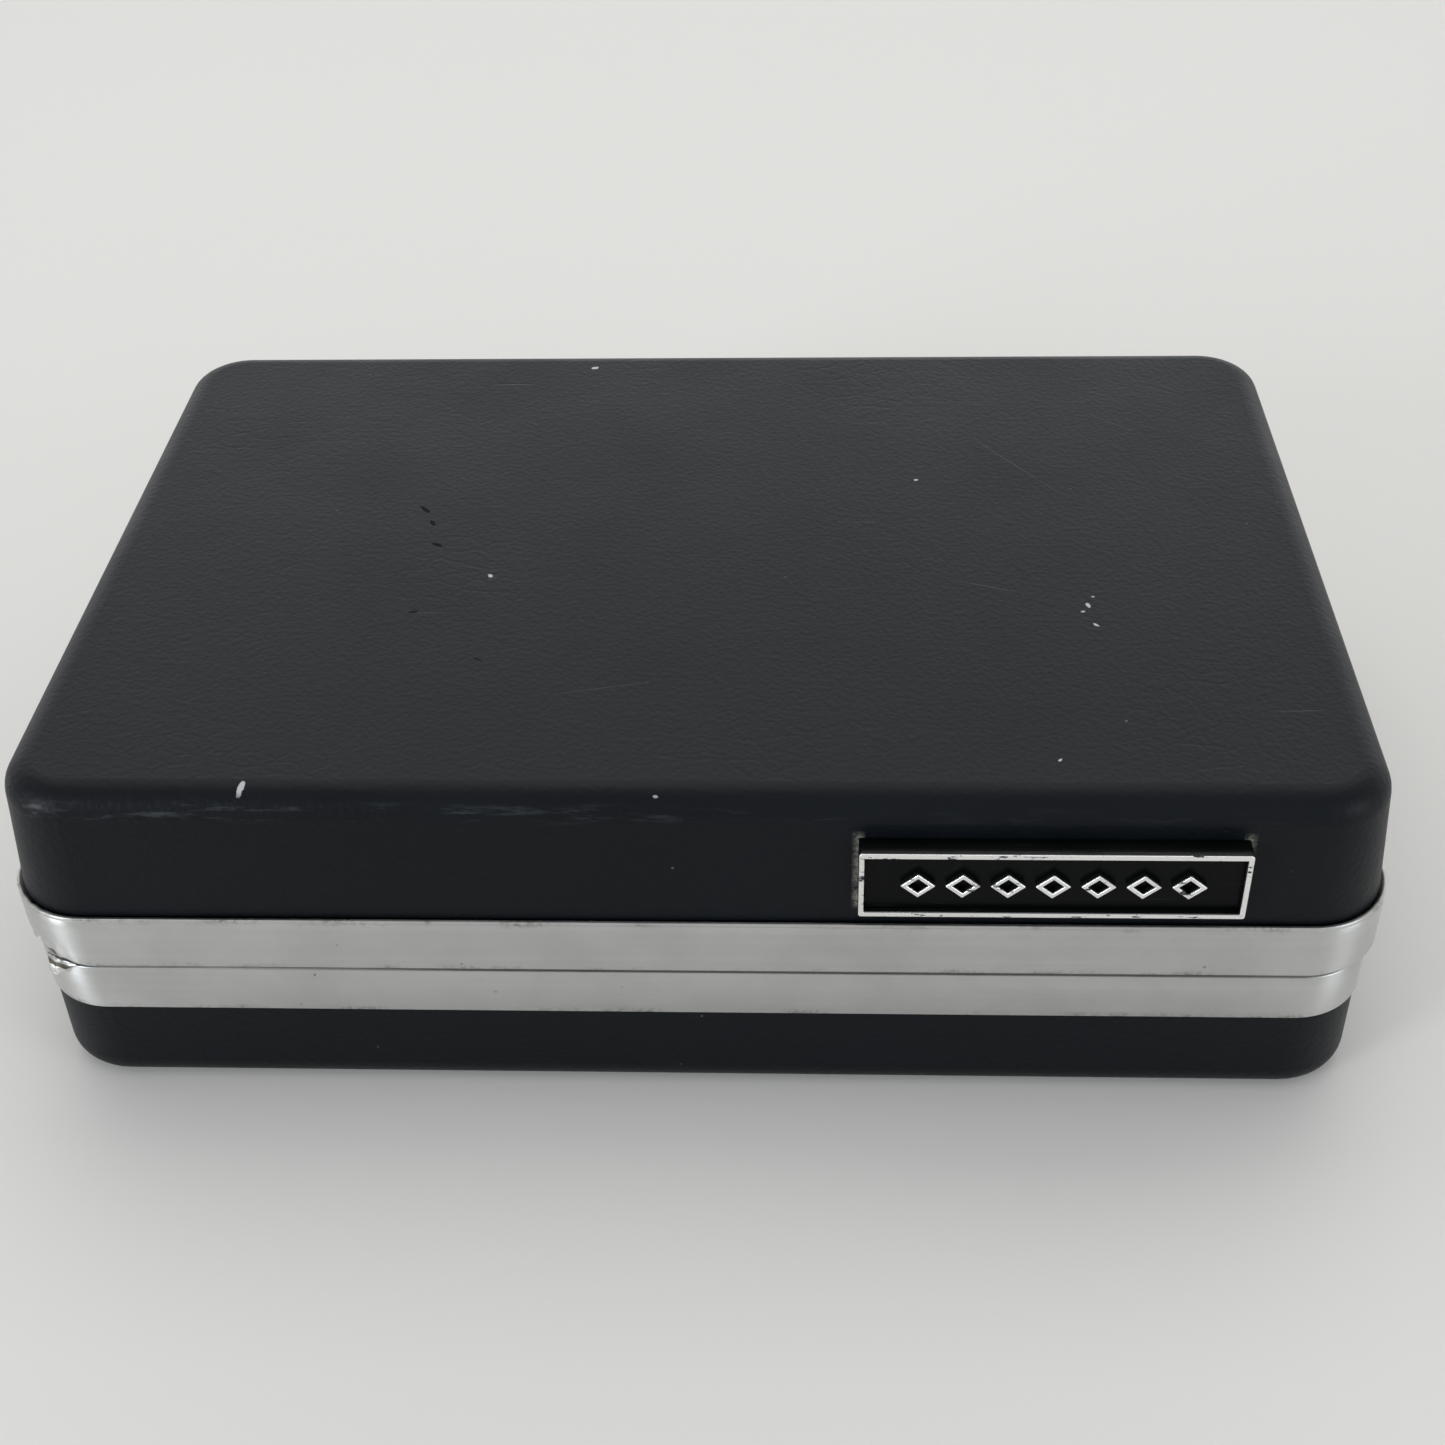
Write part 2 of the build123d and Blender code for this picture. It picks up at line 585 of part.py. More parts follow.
def eccentric():
    """The crank on the shaft's front end; its pin drives the oscillator's yoke."""
    disc = on_axis(-46.4, -43.6, 3.6) - on_axis(-45.5, -40, SHAFT_R)
    return disc + rod_x(-49.6, -46.4, SHAVER_Y, SHAVER_Z + CRANK_THROW, CRANK_PIN_R)


def carbon_parts(inner, outer, half_x, half_z):
    """A pair of blocks facing each other across the commutator."""
    mid = sum(COMMUTATOR_X) / 2
    made = []
    for sy in (-1, 1):
        y0, y1 = sorted((SHAVER_Y + sy * inner, SHAVER_Y + sy * outer))
        made.append(box(mid - half_x, mid + half_x, y0, y1, SHAVER_Z - half_z, SHAVER_Z + half_z))
    return made


def carbon_brushes():
    return group(carbon_parts(COMMUTATOR_R + 0.1, 11.0, 1.9, 1.4))


def brush_holders():
    outer = carbon_parts(6.0, 19.0, 2.9, 2.4)
    inner = carbon_parts(5.0, 18.2, 2.0, 1.5)
    return group(o - i for o, i in zip(outer, inner))


def brush_springs():
    """A coil spring behind each carbon brush."""
    mid = sum(COMMUTATOR_X) / 2
    springs = []
    for sy in (-1, 1):
        helix = Helix(pitch=1.4, height=6.6, radius=0.95)
        start = helix @ 0
        section = Plane(origin=start, z_dir=helix % 0) * Circle(0.2)
        coil = sweep(section, path=helix, is_frenet=True)
        springs.append(Pos(mid, SHAVER_Y + sy * 11.3, SHAVER_Z) * Rot(-90 * sy, 0, 0) * coil)
    return group(springs)


# ---------------------------------------------------------------- shaver: drive to the head
def bulkhead():
    """The plate across the shaver's neck, with lugs for the guide rods and a window for the drive posts."""
    plate = along(NECK_X - 2.0, NECK_X, SHAVER_WIDE - 2, SHAVER_THICK - 3, 11)
    plate -= along(NECK_X - 3, NECK_X + 1, 12, 24, 3)
    for sy in (-1, 1):
        y0, y1 = sorted((SHAVER_Y + sy * 15.5, SHAVER_Y + sy * 17.5))
        plate += box(NECK_X - 0.5, -50.2, y0, y1, SHAVER_Z - 7.5, SHAVER_Z + 7.5)
    for s in (-1, 1):
        plate -= rod_y(SHAVER_Y - 30, SHAVER_Y + 30, GUIDE_X, SHAVER_Z + s * GUIDE_Z, GUIDE_R)
    return plate


def guide_rods():
    return group(
        rod_y(SHAVER_Y - 17.9, SHAVER_Y + 17.9, GUIDE_X, SHAVER_Z + s * GUIDE_Z, GUIDE_R) for s in (-1, 1)
    )


def oscillator_bridge():
    """It slides across the shaver on the guide rods, and carries a post for each cutter."""
    bridge = box(*BRIDGE_X, SHAVER_Y - 11, SHAVER_Y + 11, SHAVER_Z - 8.6, SHAVER_Z + 8.6)
    for s in (-1, 1):
        bridge -= rod_y(SHAVER_Y - 30, SHAVER_Y + 30, GUIDE_X, SHAVER_Z + s * GUIDE_Z, GUIDE_R + RUNNING)
        bridge += rod_x(FOIL_X + 1.0, BRIDGE_X[0], SHAVER_Y, SHAVER_Z + s * FOIL_SPREAD, 1.4)
        y0, y1 = sorted((SHAVER_Y + s * 3.6, SHAVER_Y + s * 6.0))
        bridge += box(BRIDGE_X[1] - 0.1, -47.0, y0, y1, SHAVER_Z - 3, SHAVER_Z + 3)
    return bridge


# ---------------------------------------------------------------- shaver: head
def head_section(inset):
    return HEAD_WIDE - 2 * inset, HEAD_THICK - 2 * inset, HEAD_EDGE - inset


def cutter(side):
    """A row of half-round steel blades on a spine, under its foil."""
    z = SHAVER_Z + side * FOIL_SPREAD
    half = CUTTER_LONG / 2
    spine = box(FOIL_X - 1.5, FOIL_X + 2.6, SHAVER_Y - half, SHAVER_Y + half, z - 2.2, z + 2.2)
    pitch = 2.0
    blades = int(CUTTER_LONG / pitch)
    keep = box(FOIL_X - 10, FOIL_X, SHAVER_Y - 30, SHAVER_Y + 30, z - 10, z + 10)
    lamellae = []
    for i in range(blades):
        y = SHAVER_Y + (i - (blades - 1) / 2) * pitch
        lamellae.append(rod_y(y - 0.3, y + 0.3, FOIL_X, z, CUTTER_R) & keep)
    row = spine.fuse(*lamellae)
    return row - rod_x(FOIL_X, FOIL_X + 5, SHAVER_Y, z, 1.45)


def foil(side):
    z = SHAVER_Z + side * FOIL_SPREAD
    y0, y1 = SHAVER_Y - FOIL_LONG / 2, SHAVER_Y + FOIL_LONG / 2
    tube = rod_y(y0, y1, FOIL_X, z, FOIL_R) - rod_y(y0 - 1, y1 + 1, FOIL_X, z, FOIL_R - FOIL_WALL)
    arc = tube & box(FOIL_X - 10, FOIL_X, y0, y1, z - 10, z + 10)
    for s in (-1, 1):
        a, b = sorted((z + s * FOIL_R, z + s * (FOIL_R - FOIL_WALL)))
        arc += box(FOIL_X, FOIL_X + 2.0, y0, y1, a, b)
    return arc


def foil_carrier():
    """The frame that both foils clip into."""
    plate = along(HEAD_X[0] + HEAD_WALL + 0.05, FOIL_X + 3.0, *head_section(HEAD_WALL + 0.45))
    for s in (-1, 1):
        z = SHAVER_Z + s * FOIL_SPREAD
        room = FOIL_R + 0.03
        long = FOIL_LONG / 2 + 0.05
        plate -= box(FOIL_X - 5, FOIL_X + 5, SHAVER_Y - long, SHAVER_Y + long, z - room, z + room)
    return plate


def head_frame():
    """The bright head casing that plugs onto the neck."""
    x0, x1 = HEAD_X
    shell = along(x0, x1, *head_section(0))
    shell = fillet(shell.faces().sort_by(Axis.X)[0].edges(), 1.0)
    shell -= along(x0 + HEAD_WALL, x1 + 1, *head_section(HEAD_WALL + 0.25))
    shell -= along(x0 - 1, x0 + 2, FOIL_LONG + 2.4, 2 * (FOIL_SPREAD + FOIL_R) + 0.8, 2)
    x0, x1 = BUTTON_X
    for sy in (-1, 1):
        y0, y1 = sorted((SHAVER_Y + sy * 22, SHAVER_Y + sy * 30))
        shell -= box(x0 - 0.2, x1 + 0.2, y0, y1, SHAVER_Z - BUTTON_HALF - 0.2, SHAVER_Z + BUTTON_HALF + 0.2)
    return shell


def release_button(side):
    """A button in the head's side that frees the head."""
    outer = HEAD_WIDE / 2 + BUTTON_PROUD
    y0, y1 = sorted((SHAVER_Y + side * (outer - 4.4), SHAVER_Y + side * outer))
    button = box(*BUTTON_X, y0, y1, SHAVER_Z - BUTTON_HALF, SHAVER_Z + BUTTON_HALF)
    face = button.faces().sort_by(Axis.Y)[-1 if side > 0 else 0]
    return fillet(face.edges(), 0.6)


# ---------------------------------------------------------------- shaver: trimmer
def toothed(z0, z1, tip, back, half_y):
    """A thin blade whose front edge, at x = tip, is cut into teeth."""
    blade = box(tip, back, SHAVER_Y - half_y, SHAVER_Y + half_y, z0, z1)
    count = int(2 * half_y / TOOTH_PITCH)
    gaps = []
    for i in range(count):
        y = SHAVER_Y + (i - (count - 1) / 2) * TOOTH_PITCH
        gaps.append(box(tip - 1, tip + 1.8, y - TOOTH_PITCH / 4, y + TOOTH_PITCH / 4, z0 - 1, z1 + 1))
    return blade.cut(*gaps)


def trimmer_comb():
    return toothed(TRIMMER_Z, TRIMMER_Z + 0.4, TRIMMER_TIP, -60.0, 17.0)


def trimmer_cutter():
    return toothed(TRIMMER_Z + 0.45, TRIMMER_Z + 0.85, TRIMMER_TIP + 0.5, -62.0, 15.0)


def trimmer_carriage():
    """The sliding button on the casing, with the arm that carries the trimmer's blades."""
    top = SHAVER_TOP
    button = box(-50.0, -38.0, SHAVER_Y - 9, SHAVER_Y + 9, top + 0.15, top + 1.9)
    button = fillet(button.edges().filter_by(Axis.Z), 2.0)
    for i in range(4):
        x = -46.5 + 1.8 * i
        button -= box(x - 0.35, x + 0.35, SHAVER_Y - 7, SHAVER_Y + 7, top + 1.3, top + 3)
    arm = box(-60.0, -46.0, SHAVER_Y - 12, SHAVER_Y + 12, top + 0.15, top + 1.1)
    clamp = box(-69.0, -58.5, SHAVER_Y - 16, SHAVER_Y + 16, TRIMMER_Z + 0.9, top + 1.1)
    heel = box(-61.6, -59.8, SHAVER_Y - 16, SHAVER_Y + 16, TRIMMER_Z + 0.4, TRIMMER_Z + 1.0)
    stem = box(*TRIMMER_STEM, SHAVER_Y - 2, SHAVER_Y + 2, top - 3, top + 0.3)
    return button + arm + clamp + heel + stem


# ---------------------------------------------------------------- every node
PARTS = {
    "base_shell": base_shell,
    "base_band": lambda: band(BASE_BAND_FOOT, BASE_TOP, BASE_BAND_INSET, BASE_SKIRT_INSET),
    "tray": tray,
    "catch_springs": catch_springs,
    "hinge_base_leaves": lambda: leaves(False),
    "hinge_pins": hinge_pins,
    "hinge_base_rivets": lambda: rivets(False),
    "lid_shell": lid_shell,
    "lid_band": lambda: band(LID_FOOT, LID_BAND_TOP, LID_BAND_INSET, LID_SKIRT_INSET),
    "lid_liner": lid_liner,
    "catch_lugs": catch_lugs,
    "hinge_lid_leaves": lambda: leaves(True),
    "hinge_lid_rivets": lambda: rivets(True),
    "mirror_glass": mirror_glass,
    "mirror_frame": mirror_frame,
    "nameplate_block": nameplate_block,
    "nameplate_border": nameplate_border,
    "nameplate_studs": nameplate_studs,
    "cleaning_brush_handle": cleaning_brush_handle,
    "cleaning_brush_bristles": cleaning_brush_bristles,
    "shaver_front_shell": front_shell,
    "shaver_back_shell": back_shell,
    "shaver_trim_strips": trim_strips,
    "shaver_body_screws": body_screws,
    "power_inlet": power_inlet,
    "inlet_pins": inlet_pins,
    "switch_slider": switch_slider,
    "switch_block": switch_block,
    "capacitor": capacitor,
    "motor_front_bracket": lambda: bracket("front"),
    "motor_rear_bracket": lambda: bracket("rear"),
    "front_bearing": lambda: bearing("front"),
    "rear_bearing": lambda: bearing("rear"),
    "stator_core": stator_core,
    "field_coils": field_coils,
    "carbon_brushes": carbon_brushes,
    "brush_holders": brush_holders,
    "brush_springs": brush_springs,
    "rotor_shaft": rotor_shaft,
    "rotor_core": rotor_core,
    "rotor_windings": rotor_windings,
    "commutator": commutator,
    "cooling_fan": cooling_fan,
    "eccentric": eccentric,
    "bulkhead": bulkhead,
    "guide_rods": guide_rods,
    "oscillator_bridge": oscillator_bridge,
    "cutter_upper": lambda: cutter(1),
    "cutter_lower": lambda: cutter(-1),
    "foil_upper": lambda: foil(1),
    "foil_lower": lambda: foil(-1),
    "foil_carrier": foil_carrier,
    "head_frame": head_frame,
    "release_button_rear": lambda: release_button(1),
    "release_button_front": lambda: release_button(-1),
    "trimmer_comb": trimmer_comb,
    "trimmer_cutter": trimmer_cutter,
    "trimmer_carriage": trimmer_carriage,
}

os.makedirs("parts", exist_ok=True)
for name, make in PARTS.items():
    export_step(make(), f"parts/{name}.step")
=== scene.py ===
"""Looks of a corded electric shaver in its hinged travel case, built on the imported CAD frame.

The case is a worn black moulding with a brushed aluminium band on each half and a bright-edged nameplate.
The inside is flocked, with a mirror in the lid. All lengths are in metres, in the CAD's own frame.
"""

import json
import random
from math import atan2, cos, pi, radians, sin

import bmesh
import bpy
from mathutils import Matrix, Vector


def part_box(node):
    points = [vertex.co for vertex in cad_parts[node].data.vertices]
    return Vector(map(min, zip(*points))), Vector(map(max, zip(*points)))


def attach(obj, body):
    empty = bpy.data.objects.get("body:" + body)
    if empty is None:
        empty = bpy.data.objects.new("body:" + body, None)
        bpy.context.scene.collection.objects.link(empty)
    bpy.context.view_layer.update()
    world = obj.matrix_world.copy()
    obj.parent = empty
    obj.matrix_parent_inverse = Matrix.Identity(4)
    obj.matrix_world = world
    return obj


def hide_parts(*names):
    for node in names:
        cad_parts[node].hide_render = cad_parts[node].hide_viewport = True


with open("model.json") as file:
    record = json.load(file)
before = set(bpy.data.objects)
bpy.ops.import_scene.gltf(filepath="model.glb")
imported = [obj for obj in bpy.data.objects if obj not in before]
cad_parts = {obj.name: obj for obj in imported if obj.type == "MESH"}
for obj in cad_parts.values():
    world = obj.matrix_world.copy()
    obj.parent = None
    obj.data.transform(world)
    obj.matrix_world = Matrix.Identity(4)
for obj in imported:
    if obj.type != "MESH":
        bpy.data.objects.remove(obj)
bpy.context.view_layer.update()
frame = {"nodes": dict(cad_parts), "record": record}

MM = 0.001
ROOT = "case_and_shaver"


# ---------------------------------------------------------------- camera, light and stage
CAMERA_PLACE = (0.01579, -0.2521, 0.2130)
CAMERA_TILT = 37.85  # degrees below the horizon
CAMERA_TURN = 3.19  # degrees to the left of straight ahead
CAMERA_ROLL = -1.77
CAMERA_LENS = 50.95


def add_camera():
    data = bpy.data.cameras.new("camera")
    data.lens = CAMERA_LENS
    data.sensor_width = 36.0
    data.clip_start = 0.01
    camera = bpy.data.objects.new("camera", data)
    turn = Matrix.Rotation(radians(CAMERA_TURN), 4, "Z")
    tilt = Matrix.Rotation(radians(90 - CAMERA_TILT), 4, "X")
    roll = Matrix.Rotation(radians(CAMERA_ROLL), 4, "Z")
    camera.matrix_world = Matrix.Translation(CAMERA_PLACE) @ turn @ tilt @ roll
    bpy.context.scene.collection.objects.link(camera)
    bpy.context.scene.camera = camera


# Each lamp's name, its place, the point that it faces, its size, its power in watts and its colour.
LAMPS = (
    ("ceiling", (0.0, 0.42, 0.93), (0.0, 0.0, 0.0), (1.0, 0.6), 2.7, (1.0, 0.985, 0.96)),
    ("left_window", (-0.90, -0.76, 0.36), (-0.08, -0.06, 0.02), (0.28, 0.42), 5.2, (0.9, 0.95, 1.0)),
    ("right_window", (0.94, -0.62, 0.36), (0.08, -0.06, 0.02), (0.45, 0.42), 2.5, (0.9, 0.95, 1.0)),
)
ROOM_TINT = (0.97, 0.98, 1.0, 1.0)
ROOM_IN_FRONT, ROOM_BEHIND = 0.60, 0.62  # strength of the room's light, before the wall adds to it
WALL_HIGH, WALL_LOW = -0.3, 1.25  # what the back wall adds to it, high up and low down


def add_lamp(name, place, aim, size, power, colour):
    """A soft rectangular lamp at place, facing aim."""
    data = bpy.data.lights.new(name, "AREA")
    data.shape = "RECTANGLE"
    data.size, data.size_y = size
    data.energy = power
    data.color = colour
    lamp = bpy.data.objects.new(name, data)
    lamp.location = place
    lamp.rotation_euler = (Vector(aim) - Vector(place)).to_track_quat("-Z", "Y").to_euler()
    bpy.context.scene.collection.objects.link(lamp)


def light_world():
    """A pale room that is almost even, but for a back wall that is brightest low down."""
    world = bpy.data.worlds.new("room")
    world.use_nodes = True
    bpy.context.scene.world = world
    tree = world.node_tree
    back = tree.nodes["Background"]

    def node(kind, inputs, **settings):
        made = tree.nodes.new(kind)
        for key, value in settings.items():
            setattr(made, key, value)
        for key, value in inputs.items():
            if isinstance(value, bpy.types.NodeSocket):
                tree.links.new(value, made.inputs[key])
            else:
                made.inputs[key].default_value = value
        return made.outputs[0]

    coords = tree.nodes.new("ShaderNodeTexCoord")
    split = tree.nodes.new("ShaderNodeSeparateXYZ")
    tree.links.new(coords.outputs["Generated"], split.inputs[0])
    depth, height = split.outputs["Y"], split.outputs["Z"]

    def ramp(value, low, high, to_low, to_high, **settings):
        return node("ShaderNodeMapRange", {0: value, 1: low, 2: high, 3: to_low, 4: to_high}, **settings)

    room = ramp(depth, -1.0, 0.6, ROOM_IN_FRONT, ROOM_BEHIND, interpolation_type="SMOOTHSTEP")
    behind = ramp(depth, 0.3, 0.9, 0.0, 1.0)
    low = ramp(height, 0.72, 0.2, WALL_HIGH, WALL_LOW)
    wall = node("ShaderNodeMath", {0: behind, 1: low}, operation="MULTIPLY")
    total = node("ShaderNodeMath", {0: room, 1: wall}, operation="ADD")
    tree.links.new(total, back.inputs["Strength"])
    back.inputs["Color"].default_value = ROOM_TINT


# ---------------------------------------------------------------- materials
class Paint:
    """A material on the Principled shader, with short calls for the nodes that this scene uses."""

    def __init__(self, name, **constants):
        self.material = bpy.data.materials.new(name)
        self.material.use_nodes = True
        self.tree = self.material.node_tree
        self.shader = self.tree.nodes["Principled BSDF"]
        for key, value in constants.items():
            self.shader.inputs[key.replace("_", " ")].default_value = value
        self.place = self.node("ShaderNodeTexCoord").outputs["Object"]

    def node(self, kind, inputs=(), **settings):
        made = self.tree.nodes.new(kind)
        for key, value in settings.items():
            setattr(made, key, value)
        for key, value in dict(inputs).items():
            self.feed(made.inputs[key], value)
        return made

    def feed(self, socket, value):
        if isinstance(value, bpy.types.NodeSocket):
            self.tree.links.new(value, socket)
        else:
            socket.default_value = value

    def set(self, **values):
        for key, value in values.items():
            self.feed(self.shader.inputs[key.replace("_", " ")], value)

    def scaled(self, stretch, turn=0.0):
        """The object's coordinates times stretch, turned about Z first."""
        mapping = self.node("ShaderNodeMapping", {"Vector": self.place, "Scale": stretch})
        mapping.inputs["Rotation"].default_value = (0, 0, turn)
        return mapping.outputs[0]

    def noise(self, size, detail=2.0, rough=0.5, stretch=(1, 1, 1), turn=0.0):
        """Noise whose features are about size metres across, longer along axes with a small stretch."""
        inputs = {"Vector": self.scaled(stretch, turn), "Scale": 1 / size, "Detail": detail}
        return self.node("ShaderNodeTexNoise", {**inputs, "Roughness": rough}).outputs[0]

    def cells(self, size, feature="F1", stretch=(1, 1, 1)):
        """Distances in a pattern of uneven cells, each about size metres across."""
        inputs = {"Vector": self.scaled(stretch), "Scale": 1 / size}
        return self.node("ShaderNodeTexVoronoi", inputs, feature=feature).outputs["Distance"]

    def spread(self, value, low, high, to_low=0.0, to_high=1.0):
        """Runs from to_low to to_high as the value runs from low to high, and stays there beyond them."""
        inputs = {0: value, 1: low, 2: high, 3: to_low, 4: to_high}
        return self.node("ShaderNodeMapRange", inputs, clamp=True).outputs[0]

    def math(self, operation, a, b=0.0):
        return self.node("ShaderNodeMath", {0: a, 1: b}, operation=operation).outputs[0]

    def times(self, a, b):
        return self.math("MULTIPLY", a, b)

    def gap(self, a, b):
        """How far a is from b, on either side."""
        return self.math("ABSOLUTE", self.math("SUBTRACT", a, b))

    def mix(self, amount, a, b):
        made = self.node("ShaderNodeMix", data_type="RGBA")
        for socket, value in ((0, amount), (6, a), (7, b)):
            self.feed(made.inputs[socket], (*value, 1.0) if isinstance(value, tuple) else value)
        return made.outputs[2]

    def bump(self, height, depth, under=None):
        inputs = {"Height": height, "Distance": depth, "Strength": 1.0}
        if under is not None:
            inputs["Normal"] = under
        return self.node("ShaderNodeBump", inputs).outputs[0]

    def axis(self, name):
        return self.node("ShaderNodeSeparateXYZ", {0: self.place}).outputs[name]

    def marks(self, spots, ragged=0.4):
        """1 inside small ragged marks on the lid's top, each at x, y with a length, a width and an angle."""
        frayed = self.spread(self.noise(0.45 * MM, 3), 0.25, 0.75, -ragged, ragged)
        found = []
        for x, y, long, wide, angle in spots:
            mapping = self.node("ShaderNodeMapping", {"Vector": self.place}, vector_type="TEXTURE")
            mapping.inputs["Location"].default_value = (x * MM, y * MM, 0)
            mapping.inputs["Rotation"].default_value = (0, 0, radians(angle))
            mapping.inputs["Scale"].default_value = (long * MM, wide * MM, 1.0)
            reach = self.node("ShaderNodeVectorMath", {0: mapping.outputs[0]}, operation="LENGTH")
            ragged_reach = self.math("ADD", reach.outputs["Value"], frayed)
            found.append(self.spread(ragged_reach, 0.85, 1.1, 1.0, 0.0))
        return self.most(found)

    def most(self, values):
        total = values[0]
        for value in values[1:]:
            total = self.math("MAXIMUM", total, value)
        return total


# Marks on the lid's top: x and y in mm, length and width in mm, and the angle in degrees.
CHIPS = (
    (-56.0, -56.8, 1.1, 0.38, 80),
    (-20.7, 52.9, 0.7, 0.35, 10),
    (-30.4, -9.4, 0.45, 0.3, -60),
    (31.4, 16.8, 0.35, 0.25, 20),
    (53.9, -16.6, 0.55, 0.3, -70),
    (54.5, -21.4, 0.5, 0.2, -40),
    (53.1, -18.2, 0.3, 0.2, 20),
    (54.8, -14.6, 0.22, 0.15, 0),
    (46.9, -50.9, 0.35, 0.2, 60),
    (-3.7, -57.6, 0.35, 0.18, 0),
)
NICKS = (
    (-42.5, 8.4, 1.3, 0.4, -50),
    (-40.8, 4.6, 0.9, 0.35, -65),
    (-39.3, -1.3, 1.0, 0.35, -30),
    (-40.1, -18.5, 0.8, 0.22, 15),
    (-29.5, -29.8, 0.9, 0.2, -35),
)
HAIRLINES = (
    (46.5, 21.5, 9.5, 0.11, -54),
    (40.5, -12.0, 3.4, 0.12, -18),
    (-12.0, -36.0, 6.0, 0.09, 12),
    (63.0, 34.0, 5.0, 0.09, -40),
)


def case_material():
    """Black leather-grained moulding, rubbed along its upper edge, with chips, nicks and faint scratches."""
    paint = Paint("case_moulding", Specular_IOR_Level=0.17)
    height = paint.axis("Z")
    pebble = paint.cells(0.75 * MM, "SMOOTH_F1")
    fine = paint.noise(0.2 * MM, 3, 0.6)
    crease = paint.spread(paint.cells(3.6 * MM, "DISTANCE_TO_EDGE", stretch=(0.7, 1, 1)), 0.0, 0.1)
    crease_area = paint.spread(paint.noise(38 * MM, 2), 0.48, 0.64)
    creases = paint.times(paint.math("SUBTRACT", 1.0, crease), crease_area)
    cloud = paint.noise(24 * MM, 5, 0.62)

    below_top = paint.math("SUBTRACT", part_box("lid_shell")[1].z, height)
    on_top = paint.spread(below_top, 1.2 * MM, 0.5 * MM)
    chips = paint.times(paint.marks(CHIPS), on_top)
    nicks = paint.times(paint.marks(NICKS, 0.25), on_top)
    hairs = paint.times(paint.marks(HAIRLINES, 0.5), on_top)

    dust_area = paint.spread(paint.noise(17 * MM), 0.5, 0.62)
    dust = paint.times(paint.spread(paint.cells(5.5 * MM), 0.04, 0.022), dust_area)
    scratch = paint.spread(paint.noise(1.5 * MM, 1, 0.5, (0.06, 1.0, 1.0), radians(38)), 0.74, 0.79)
    scratch = paint.times(scratch, paint.spread(paint.noise(22 * MM, 2), 0.56, 0.7))

    # The front upper edge is rubbed to grey, most of all towards the left.
    rim = paint.spread(below_top, 4.2 * MM, 3.0 * MM)
    rim = paint.times(rim, paint.spread(below_top, 1.2 * MM, 2.2 * MM))
    streaks = paint.spread(paint.noise(1.6 * MM, 5, 0.7, (0.16, 1, 1.6)), 0.54, 0.66)
    rubbed = paint.times(rim, streaks)
    rubbed = paint.times(rubbed, paint.spread(paint.axis("X"), 30 * MM, -75 * MM, 0.12, 1.0))

    # Grey dust has settled along the nameplate's ends.
    low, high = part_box("nameplate_block")
    ends = [paint.spread(paint.gap(paint.axis("X"), x), 0.9 * MM, 0.15 * MM) for x in (low.x, high.x)]
    beside = paint.times(paint.most(ends), paint.spread(height, high.z + 1.0 * MM, high.z))
    beside = paint.times(beside, paint.spread(height, low.z - 1.0 * MM, low.z))
    on_front = paint.spread(paint.axis("Y"), -50 * MM, -58 * MM)
    beside = paint.times(beside, on_front)
    settled = paint.times(beside, paint.spread(paint.noise(0.9 * MM, 4, 0.7), 0.36, 0.62))

    black = paint.mix(cloud, (0.0011, 0.0023, 0.0036), (0.0031, 0.0051, 0.0076))
    colour = paint.mix(paint.times(rubbed, 0.5), black, (0.085, 0.095, 0.105))
    colour = paint.mix(paint.times(dust, 0.3), colour, (0.4, 0.42, 0.44))
    colour = paint.mix(paint.times(paint.most([scratch, hairs]), 0.14), colour, (0.16, 0.17, 0.18))
    colour = paint.mix(paint.times(settled, 0.85), colour, (0.34, 0.33, 0.29))
    colour = paint.mix(paint.times(chips, 0.9), colour, (0.5, 0.52, 0.54))
    colour = paint.mix(nicks, colour, (0.0008, 0.0008, 0.0008))

    gloss = paint.spread(cloud, 0.3, 0.7, 0.40, 0.50)
    gloss = paint.math("SUBTRACT", gloss, paint.times(rubbed, 0.1))
    gloss = paint.math("ADD", gloss, paint.times(paint.most([nicks, settled]), 0.35))
    relief = paint.bump(pebble, 0.05 * MM)
    relief = paint.bump(fine, 0.022 * MM, relief)
    relief = paint.bump(creases, -0.018 * MM, relief)
    relief = paint.bump(paint.most([nicks, hairs, scratch]), -0.1 * MM, relief)
    paint.set(Base_Color=colour, Roughness=gloss, Normal=relief)
    return paint.material


SEAM_STEP = 0.95 * MM  # how far the lower band's lip lies below its upper edge


